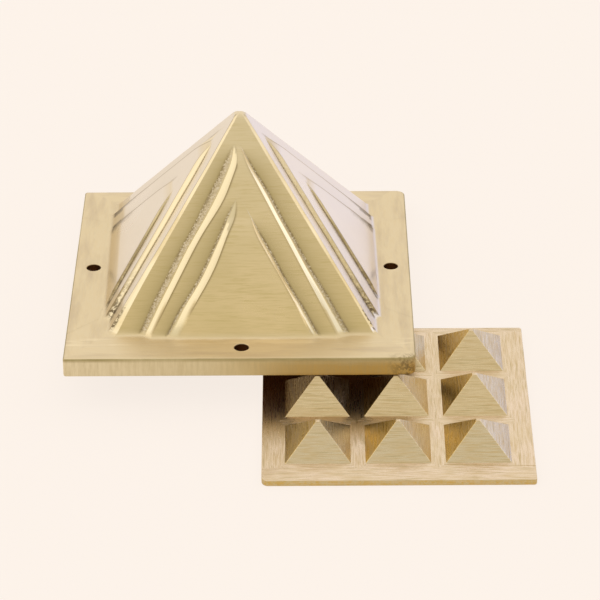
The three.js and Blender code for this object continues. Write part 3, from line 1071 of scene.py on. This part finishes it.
# %% Helpers for a material's nodes
class Nodes:
    """Adds nodes to a material or a world. Their inputs are values or other nodes' sockets, and
    colour is what paint has laid so far."""

    def __init__(self, owner, ground=None):
        owner.use_nodes = True
        self.tree = owner.node_tree
        self.tree.nodes.clear()
        self.colour = ground

    def fill(self, socket, value):
        if isinstance(value, bpy.types.NodeSocket):
            self.tree.links.new(value, socket)
        else:
            socket.default_value = value

    def add(self, kind, inputs=None, **settings):
        node = self.tree.nodes.new(kind)
        for name, value in settings.items():
            setattr(node, name, value)
        for name, value in (inputs or {}).items():
            self.fill(node.inputs[name], value)
        return node

    def math(self, operation, first, second=0.0):
        return self.add("ShaderNodeMath", {0: first, 1: second}, operation=operation).outputs[0]

    def times(self, product, *factors):
        for factor in factors:
            product = self.math("MULTIPLY", product, factor)
        return product

    def larger(self, first, second):
        return self.math("MAXIMUM", first, second)

    def blend(self, factor, first, second):
        """Two numbers mixed by the factor."""
        return self.math("ADD", first, self.times(self.math("SUBTRACT", second, first), factor))

    def mix(self, factor, first, second):
        """Two colours mixed by the factor."""
        inputs = {0: factor, 6: first, 7: second}
        return self.add("ShaderNodeMix", inputs, data_type="RGBA").outputs[2]

    def paint(self, share, colour):
        self.colour = self.mix(share, self.colour, colour)

    def remap(self, value, low, high, to_low=0.0, to_high=1.0):
        inputs = {
            "Value": value, "From Min": low, "From Max": high, "To Min": to_low, "To Max": to_high,
        }
        return self.add("ShaderNodeMapRange", inputs, clamp=True).outputs["Result"]

    def stored(self, name):
        """A value that the mesh carries."""
        return self.add("ShaderNodeAttribute", attribute_name=name).outputs["Fac"]

    def place(self, stretch=(1, 1, 1), offset=(0, 0, 0)):
        """Object coordinates in millimetres, stretched."""
        inputs = {
            "Vector": self.add("ShaderNodeTexCoord").outputs["Object"],
            "Scale": tuple(1000 * value for value in stretch),
            "Location": offset,
        }
        return self.add("ShaderNodeMapping", inputs).outputs["Vector"]

    def axes(self, vector):
        return tuple(self.add("ShaderNodeSeparateXYZ", {"Vector": vector}).outputs)

    def noise(self, stretch=(1, 1, 1), scale=1.0, detail=3.0, roughness=0.55):
        place = self.place(stretch)
        inputs = {"Vector": place, "Scale": scale, "Detail": detail, "Roughness": roughness}
        return self.add("ShaderNodeTexNoise", inputs).outputs["Fac"]

    def strokes(self, turn, along, across, detail, roughness):
        """Noise drawn out along x, or along y where turn is 1, and then the noise along x."""
        by_x = self.noise((along, across, across), 1.0, detail, roughness)
        by_y = self.noise((across, along, across), 1.0, detail, roughness)
        return self.blend(turn, by_x, by_y), by_x

    def bump(self, height, strength, distance, **inputs):
        inputs |= {"Height": height, "Strength": strength, "Distance": distance}
        return self.add("ShaderNodeBump", inputs).outputs["Normal"]


def new_finish(name, ground=None):
    """A material with its shader, and the helper that adds its other nodes."""
    material = bpy.data.materials.new(name)
    n = Nodes(material, ground)
    n.shader = n.add("ShaderNodeBsdfPrincipled")
    n.output = n.add("ShaderNodeOutputMaterial", {"Surface": n.shader.outputs["BSDF"]})
    return material, n


def set_metal(n, roughness, normal):
    """Joins the painted colour, the roughness and the bump to the shader."""
    inputs = {"Base Color": n.colour, "Roughness": roughness, "Metallic": 1.0, "Normal": normal}
    for name, value in inputs.items():
        n.fill(n.shader.inputs[name], value)


def paint_stored(n, layers):
    """Lays each colour where the mesh's value says, by that share of it."""
    for name, share, colour in layers:
        n.paint(n.times(n.stored(name), share), colour)


# %% Colours of the brass
BRASS_GOLD = (0.81, 0.645, 0.37, 1)
BRASS_OLIVE = (0.67, 0.54, 0.27, 1)
BRASS_SHADE = (0.50, 0.40, 0.20, 1)
BRASS_DEEP = (0.66, 0.50, 0.27, 1)
BRASS_LINE = (0.26, 0.19, 0.09, 1)
BRASS_DARK = (0.10, 0.065, 0.03, 1)
BRASS_PALE = (0.83, 0.71, 0.495, 1)
BRASS_TAN = (0.62, 0.50, 0.34, 1)
FLANGE_PALE = (0.81, 0.685, 0.455, 1)
FLANGE_BRIGHT = (0.93, 0.80, 0.55, 1)
COVE_SHADE_OLIVE = (0.66, 0.55, 0.36, 1)
EDGE_OLIVE = (0.60, 0.49, 0.26, 1)
EDGE_PALE = (0.80, 0.69, 0.46, 1)
EDGE_GOLD = (0.60, 0.41, 0.12, 1)
EDGE_SHADE = (0.38, 0.30, 0.13, 1)
PLATE_GOLD = (0.78, 0.635, 0.415, 1)
PLATE_TAN = (0.86, 0.70, 0.52, 1)
PLATE_SHADE_BROWN = (0.70, 0.49, 0.15, 1)
PLATE_REFLECTION_SILVER = (0.79, 0.70, 0.56, 1)
PLATE_SHADE_OLIVE = (0.74, 0.63, 0.42, 1)
PLATE_REFLECTION_GREY = (0.70, 0.60, 0.44, 1)
UNDER_COVER_SHADE = (0.60, 0.40, 0.17, 1)
REFLECTION_CREAM = (0.84, 0.77, 0.66, 1)
REFLECTION_LILAC = (0.91, 0.87, 0.91, 1)
FACET_HIGHLIGHT_CREAM = (0.87, 0.75, 0.51, 1)
FACET_HIGHLIGHT = (0.98, 0.89, 0.70, 1)
SKIN_LIGHT = (0.80, 0.67, 0.49, 1)
SKIN_GREY = (0.54, 0.45, 0.29, 1)
SKIN_DARK = (0.27, 0.21, 0.13, 1)
SKIN_GOLD = (0.84, 0.71, 0.44, 1)
SKIN_BRIGHT = (0.92, 0.84, 0.72, 1)
HOLLOW_SHADE = (0.09, 0.032, 0.008, 1)


# %% [markdown]
# The cover's finish is laid in layers, each over the one before: the plain metal, the flange, the
# band outside the steps, darker as unbuffed metal and as painted shade, the side faces' painted
# reflections and the cove's painted shade, the filed slopes' painted highlight, the pebbled skin,
# the lines of painted shade and the darker lower arm ends, and last the hollow's painted shade.
# Places on it are in millimetres from the middle of the set.

# %% The cover's plain metal and its flange
# Where a bright band crosses the flange in depth, with its soft edges.
BRIGHT_BAND = ((-16, -17), (-21, -19))
PALE_EDGE_END = (-45, 0)
GOLD_EDGE_START = (-20, 15)
NICKED_CORNER = ((19, 23), (-23, -26))


def paint_metal(n):
    """Gold that wanders to olive in streaks, paler towards the tip."""
    up_face = n.stored("up_face")
    n.paint(n.remap(n.clouds, 0.4, 0.66, 0, 0.6), BRASS_OLIVE)
    n.paint(n.remap(up_face, 0.1, 1.0, 0, 0.9), BRASS_PALE)
    worn = n.times(n.remap(n.grain, 0.46, 0.66), n.remap(n.smear, 0.35, 0.6, 0.3, 0.9))
    n.paint(n.times(worn, n.remap(up_face, 0.3, 0.9, 1, 0.5)), BRASS_OLIVE)


def paint_flange(n):
    """Pale with tan smears and one bright band, and nicked at its front right corner."""
    plain = n.mix(n.remap(n.smear, 0.46, 0.7, 0, 0.75), FLANGE_PALE, BRASS_TAN)
    plain = n.mix(n.remap(n.grain, 0.4, 0.65, 0, 0.35), plain, BRASS_GOLD)
    band = [n.remap(n.depth, *limits) for limits in BRIGHT_BAND]
    plain = n.mix(n.times(n.remap(n.smear_x, 0.5, 0.62), *band), plain, FLANGE_BRIGHT)
    n.paint(n.times(n.flange, 0.85), plain)
    edge = n.mix(n.remap(n.across, *PALE_EDGE_END), EDGE_PALE, EDGE_OLIVE)
    to_gold = n.math("ADD", n.stored("edge_low"), n.remap(n.smear_x, 0.3, 0.7, -0.5, 0.5))
    to_gold = n.times(n.remap(to_gold, 0.1, 0.7), n.remap(n.across, *GOLD_EDGE_START))
    edge = n.mix(to_gold, edge, EDGE_GOLD)
    down = n.noise((1.6, 1.6, 0.12), 1.0, 4.0, 0.7)
    edge = n.mix(n.remap(down, 0.4, 0.65, 0, 0.4), edge, BRASS_SHADE)
    n.paint(n.times(n.stored("flange_edge"), 0.9), edge)
    corner = [n.remap(part, *limits) for part, limits in zip((n.across, n.depth), NICKED_CORNER)]
    n.paint(n.times(n.remap(n.spots, 0.55, 0.42), n.flange, *corner), BRASS_LINE)
    # A dark line of painted shade along the rounding of the flange's top edge.
    n.paint(n.times(n.stored("edge_shade_line"), n.remap(n.smear, 0.35, 0.6, 0.5, 0.9)), EDGE_SHADE)


# %% The cover's faces, steps, painted shade and painted highlights
# The layers on the faces: the band outside the steps, darker as unbuffed metal and as painted shade;
# the pale painted reflections on the side faces; the olive painted shade in the left cove.
FACE_LAYERS = (
    ("unbuffed_and_shade", 0.95, BRASS_SHADE),
    ("reflection_left", 0.85, REFLECTION_CREAM),
    ("reflection_right", 0.85, REFLECTION_LILAC),
    ("left_cove_shade", 0.8, COVE_SHADE_OLIVE),
)


def paint_steps(n):
    """The filed slopes, filed metal painted paler as a highlight, then the speckled skin. Gives back
    how strong the ragged skin is.
    """
    # The filed slopes' painted highlight is palest on the front's right arms.
    filed = n.mix(n.remap(n.dark_arm, 0.7, 1), FACET_HIGHLIGHT_CREAM, FACET_HIGHLIGHT)
    n.paint(n.times(n.stored("facet_highlight"), 0.9), filed)
    ragged = n.math("ADD", n.skin, n.remap(n.pebble, 0.35, 0.65, -0.45, 0.22))
    ragged = n.remap(ragged, 0.25, 0.95, 0, 0.9)
    # The skin is paler on the front's left arms and greyer on its right arms: painted light and
    # shade by the way an arm faces, over the skin's own grey.
    speckled = n.mix(n.dark_arm, SKIN_LIGHT, SKIN_GREY)
    speckled = n.mix(n.on_side, speckled, SKIN_GOLD)
    dots = n.times(n.remap(n.pebble, 0.52, 0.44), n.remap(n.spots, 0.6, 0.45, 0.3, 1), 0.7)
    speckled = n.mix(dots, speckled, SKIN_DARK)
    speckled = n.mix(n.times(n.remap(n.pebble, 0.54, 0.6), 0.4), speckled, SKIN_BRIGHT)
    n.paint(ragged, speckled)
    return ragged


def paint_shade_and_dark_ends(n):
    """The dark lines of painted shade along feet and crests, and the darker patches at the side
    arms' lower ends.
    """
    arm_end = n.stored("arm_end")
    unbroken = n.larger(n.remap(n.pebble, 0.62, 0.45), n.larger(n.on_side, arm_end))
    n.paint(n.times(n.stored("foot_shade_line"), unbroken, 0.85), BRASS_LINE)
    patches = n.larger(n.remap(n.spots, 0.56, 0.44), n.stored("back_arm"))
    n.paint(n.times(arm_end, n.on_side, n.stored("arm_area"), patches), BRASS_DARK)
    n.paint(n.times(n.stored("crest_shade_line"), 0.9), BRASS_LINE)


# %% The cover's cast brass
def cast_brass():
    material, n = new_finish("cast_brass_finish", BRASS_GOLD)
    turn, under = n.stored("grain_along_y"), n.stored("underside")
    n.skin, n.flange = n.stored("cast_skin"), n.stored("flange")
    n.dark_arm, n.on_side = n.stored("dark_arm"), n.stored("on_side")
    n.across, n.depth, _ = n.axes(n.place())
    n.clouds = n.noise((0.05, 0.05, 0.05))
    n.grain, _ = n.strokes(turn, 0.2, 3.2, 3.0, 0.65)
    n.smear, n.smear_x = n.strokes(turn, 0.05, 0.35, 4.0, 0.6)
    n.pebble = n.noise(scale=2.4, roughness=0.7)
    n.spots = n.noise(scale=1.1, roughness=0.7)
    paint_metal(n)
    paint_flange(n)
    paint_stored(n, FACE_LAYERS)
    ragged = paint_steps(n)
    paint_shade_and_dark_ends(n)
    # The hollow underneath and the screw holes are painted dark brown as shade.
    n.paint(under, HOLLOW_SHADE)
    dull = n.remap(n.clouds, 0.35, 0.65, 0.26, 0.36)
    for share, roughness in ((n.flange, 0.46), (n.skin, 0.42), (under, 0.6)):
        dull = n.blend(share, dull, roughness)
    brushed = n.bump(n.grain, 0.4, 0.00004)
    set_metal(n, dull, n.bump(n.times(n.pebble, ragged), 0.5, 0.0002, Normal=brushed))
    return material


cover.data.materials.clear()
cover.data.materials.append(cast_brass())
print("cast brass nodes:", len(cover.data.materials[0].node_tree.nodes))


# %% [markdown]
# The plate was filed in long strokes: across the front and back faces, and along the channels and
# the side faces. The way of the stroke follows from where a point lies in its square of the grid,
# so a few maths nodes find it.

# %% The plate's brushed brass
# Colours by the way a face points are painted light: browner shade on faces that point left, a paler
# reflection on the right column's right faces, olive shade on the other right faces and a greyer
# reflection on the front row's fronts.
PLATE_LAYERS = (
    ("slanted", 1, PLATE_GOLD),
    ("faces_left", 1, PLATE_SHADE_BROWN),
    ("faces_right", 1, PLATE_REFLECTION_SILVER),
    ("faces_inward", 1, PLATE_SHADE_OLIVE),
    ("front_row", 0.7, PLATE_REFLECTION_GREY),
)
# Where painted shade darkens the plate under the cover: from front to back, from right to left, and
# from high to low.
COVERED = ((-36, -26), (24, 12))
COVERED_LEVEL = (3.5, 2)


def stroke_along_y(n):
    """1 where the file went along y, 0 where it went along x."""
    from_tip, past_grid = [], []
    place = n.axes(n.place(offset=(-plate_middle.x, -tip_row_y, 0)))
    for part, pitch in zip(place, (SMALL_WIDTH + CHANNEL, SMALL_DEPTH + CHANNEL)):
        grid_half = GRID_COUNT / 2 * pitch
        in_cell = n.math("FLOORED_MODULO", n.math("ADD", part, grid_half), pitch)
        from_tip.append(n.math("ABSOLUTE", n.math("SUBTRACT", in_cell, pitch / 2)))
        past_grid.append(n.math("GREATER_THAN", n.math("ABSOLUTE", part), grid_half))
    along_y = n.larger(n.math("GREATER_THAN", *from_tip), past_grid[0])
    return n.times(along_y, n.math("SUBTRACT", 1, past_grid[1]))


def brushed_brass():
    material, n = new_finish("brushed_brass_finish", PLATE_TAN)
    turn = stroke_along_y(n)
    grain, _ = n.strokes(turn, 0.2, 3.4, 3.0, 0.7)
    scratch, _ = n.strokes(turn, 0.16, 4.5, 2.0, 0.6)
    spots = n.noise(scale=1.6, roughness=0.7)
    n.paint(n.remap(n.noise((0.09, 0.09, 0.09)), 0.35, 0.6, 0, 0.6), PLATE_GOLD)
    paint_stored(n, PLATE_LAYERS)
    n.paint(n.stored("slab_edge"), n.mix(n.remap(spots, 0.42, 0.6), EDGE_GOLD, EDGE_OLIVE))
    n.paint(n.remap(grain, 0.44, 0.66, 0, 0.9), BRASS_DEEP)
    n.paint(n.remap(scratch, 0.56, 0.7, 0, 0.7), BRASS_SHADE)
    across, depth, level = n.axes(n.place())
    covered = [n.remap(part, *limits) for part, limits in zip((depth, across), COVERED)]
    not_front = n.math("SUBTRACT", 1, n.stored("faces_front"))
    low = n.larger(n.remap(level, *COVERED_LEVEL), not_front)
    # The plate is painted browner as shade where the cover hangs over it.
    n.paint(n.times(*covered, low, 0.4), UNDER_COVER_SHADE)
    polish = n.remap(grain, 0.35, 0.65, 0.24, 0.36)
    set_metal(n, polish, n.bump(grain, 0.6, 0.0001))
    return material


plate.data.materials.clear()
plate.data.materials.append(brushed_brass())

# %% Joining the pieces to their bodies
for piece, node_name, body, slot in (
    (cover, "pyramid_cover", "cover", "cast_brass"),
    (plate, "nine_pyramid_plate", "plate", "brushed_brass"),
):
    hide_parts(node_name)
    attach(piece, body)

# %% [markdown]
# The stage is a pale floor under soft light. The floor shows its own pale colour to the camera and
# in the metal, mixed with enough real shading to keep the set's shadow on it.

# %% The floor
PALE = (0.991, 0.905, 0.831, 1)
FLOOR_SIZE = 6.0
FLOOR_LEVEL = -0.00002
GLOW_TO_CAMERA = 0.9
GLOW_TO_METAL = 0.65


def pale_floor():
    half = FLOOR_SIZE / 2
    mesh = bpy.data.meshes.new("floor")
    signs = ((-1, -1), (1, -1), (1, 1), (-1, 1))
    mesh.from_pydata([(half * x, half * y, FLOOR_LEVEL) for x, y in signs], [], [(0, 1, 2, 3)])
    floor = object_from(mesh, "floor")
    material, n = new_finish("floor_pale")
    for name, value in (("Base Color", PALE), ("Roughness", 0.9), ("Specular IOR Level", 0.0)):
        n.shader.inputs[name].default_value = value
    glow = n.add("ShaderNodeEmission", {"Color": PALE, "Strength": 1.0})
    path = n.add("ShaderNodeLightPath").outputs
    to_camera = n.times(path["Is Camera Ray"], GLOW_TO_CAMERA)
    share = n.larger(to_camera, n.times(path["Is Glossy Ray"], GLOW_TO_METAL))
    inputs = {0: share, 1: n.shader.outputs["BSDF"], 2: glow.outputs[0]}
    n.fill(n.output.inputs["Surface"], n.add("ShaderNodeMixShader", inputs).outputs[0])
    mesh.materials.append(material)


pale_floor()

# %% The soft light all round
FRONT_ROOM = (0.80, 0.755, 0.63, 1)
BACK_ROOM = (0.99, 0.95, 0.92, 1)
COOL_ROOM = (0.72, 0.75, 1.0, 1)
ROOM_LIGHT = (1.0, 0.98, 0.95, 1)
ROOM_STRENGTH = 0.85


def studio_world():
    """A room that lights the set evenly, and that the metal sees as warm in front, pale at the
    back and cool low down on the right."""
    world = bpy.data.worlds.new("studio")
    bpy.context.scene.world = world
    n = Nodes(world)
    path = n.add("ShaderNodeLightPath").outputs
    right, back, up = n.axes(n.add("ShaderNodeTexCoord").outputs["Generated"])
    room = n.mix(n.remap(back, -0.35, 0.6), FRONT_ROOM, BACK_ROOM)
    cool = n.times(n.remap(right, 0.25, 0.5), n.remap(up, 0.35, 0.15))
    reflected = n.add("ShaderNodeBackground", {"Color": n.mix(cool, room, COOL_ROOM)})
    light = {"Color": ROOM_LIGHT, "Strength": ROOM_STRENGTH}
    shown = n.add("ShaderNodeBackground", light)
    for ray, background in (
        ("Is Glossy Ray", reflected),
        ("Is Camera Ray", n.add("ShaderNodeBackground", {"Color": PALE})),
    ):
        inputs = {0: path[ray], 1: shown.outputs[0], 2: background.outputs[0]}
        shown = n.add("ShaderNodeMixShader", inputs)
    n.add("ShaderNodeOutputWorld", {"Surface": shown.outputs[0]})


studio_world()


# %% The softboxes
def softbox(name, place, target, width, height, power, colour=(1, 1, 1)):
    data = bpy.data.lights.new(name, "AREA")
    data.shape = "RECTANGLE"
    data.size, data.size_y = width, height
    data.energy = power
    data.color = colour
    light = bpy.data.objects.new(name, data)
    light.location = place
    direction = Vector(target) - Vector(place)
    light.rotation_euler = direction.to_track_quat("-Z", "Y").to_euler()
    bpy.context.collection.objects.link(light)
    return light


softbox("left_softbox", (-0.75, 0.1, 0.58), (0, 0, 0), 1.05, 0.85, 1.05, (1.0, 0.96, 0.9))
softbox("right_softbox", (0.77, 0.22, 0.52), (0, 0, 0), 0.5, 0.5, 0.3, (1.0, 0.96, 0.95))
print("lights placed")

# %% [markdown]
# The last cell gives a helper that turns a box into plain numbers.

# %% Sizes as plain numbers
def plain(box):
    return [[float(value) for value in corner] for corner in box]
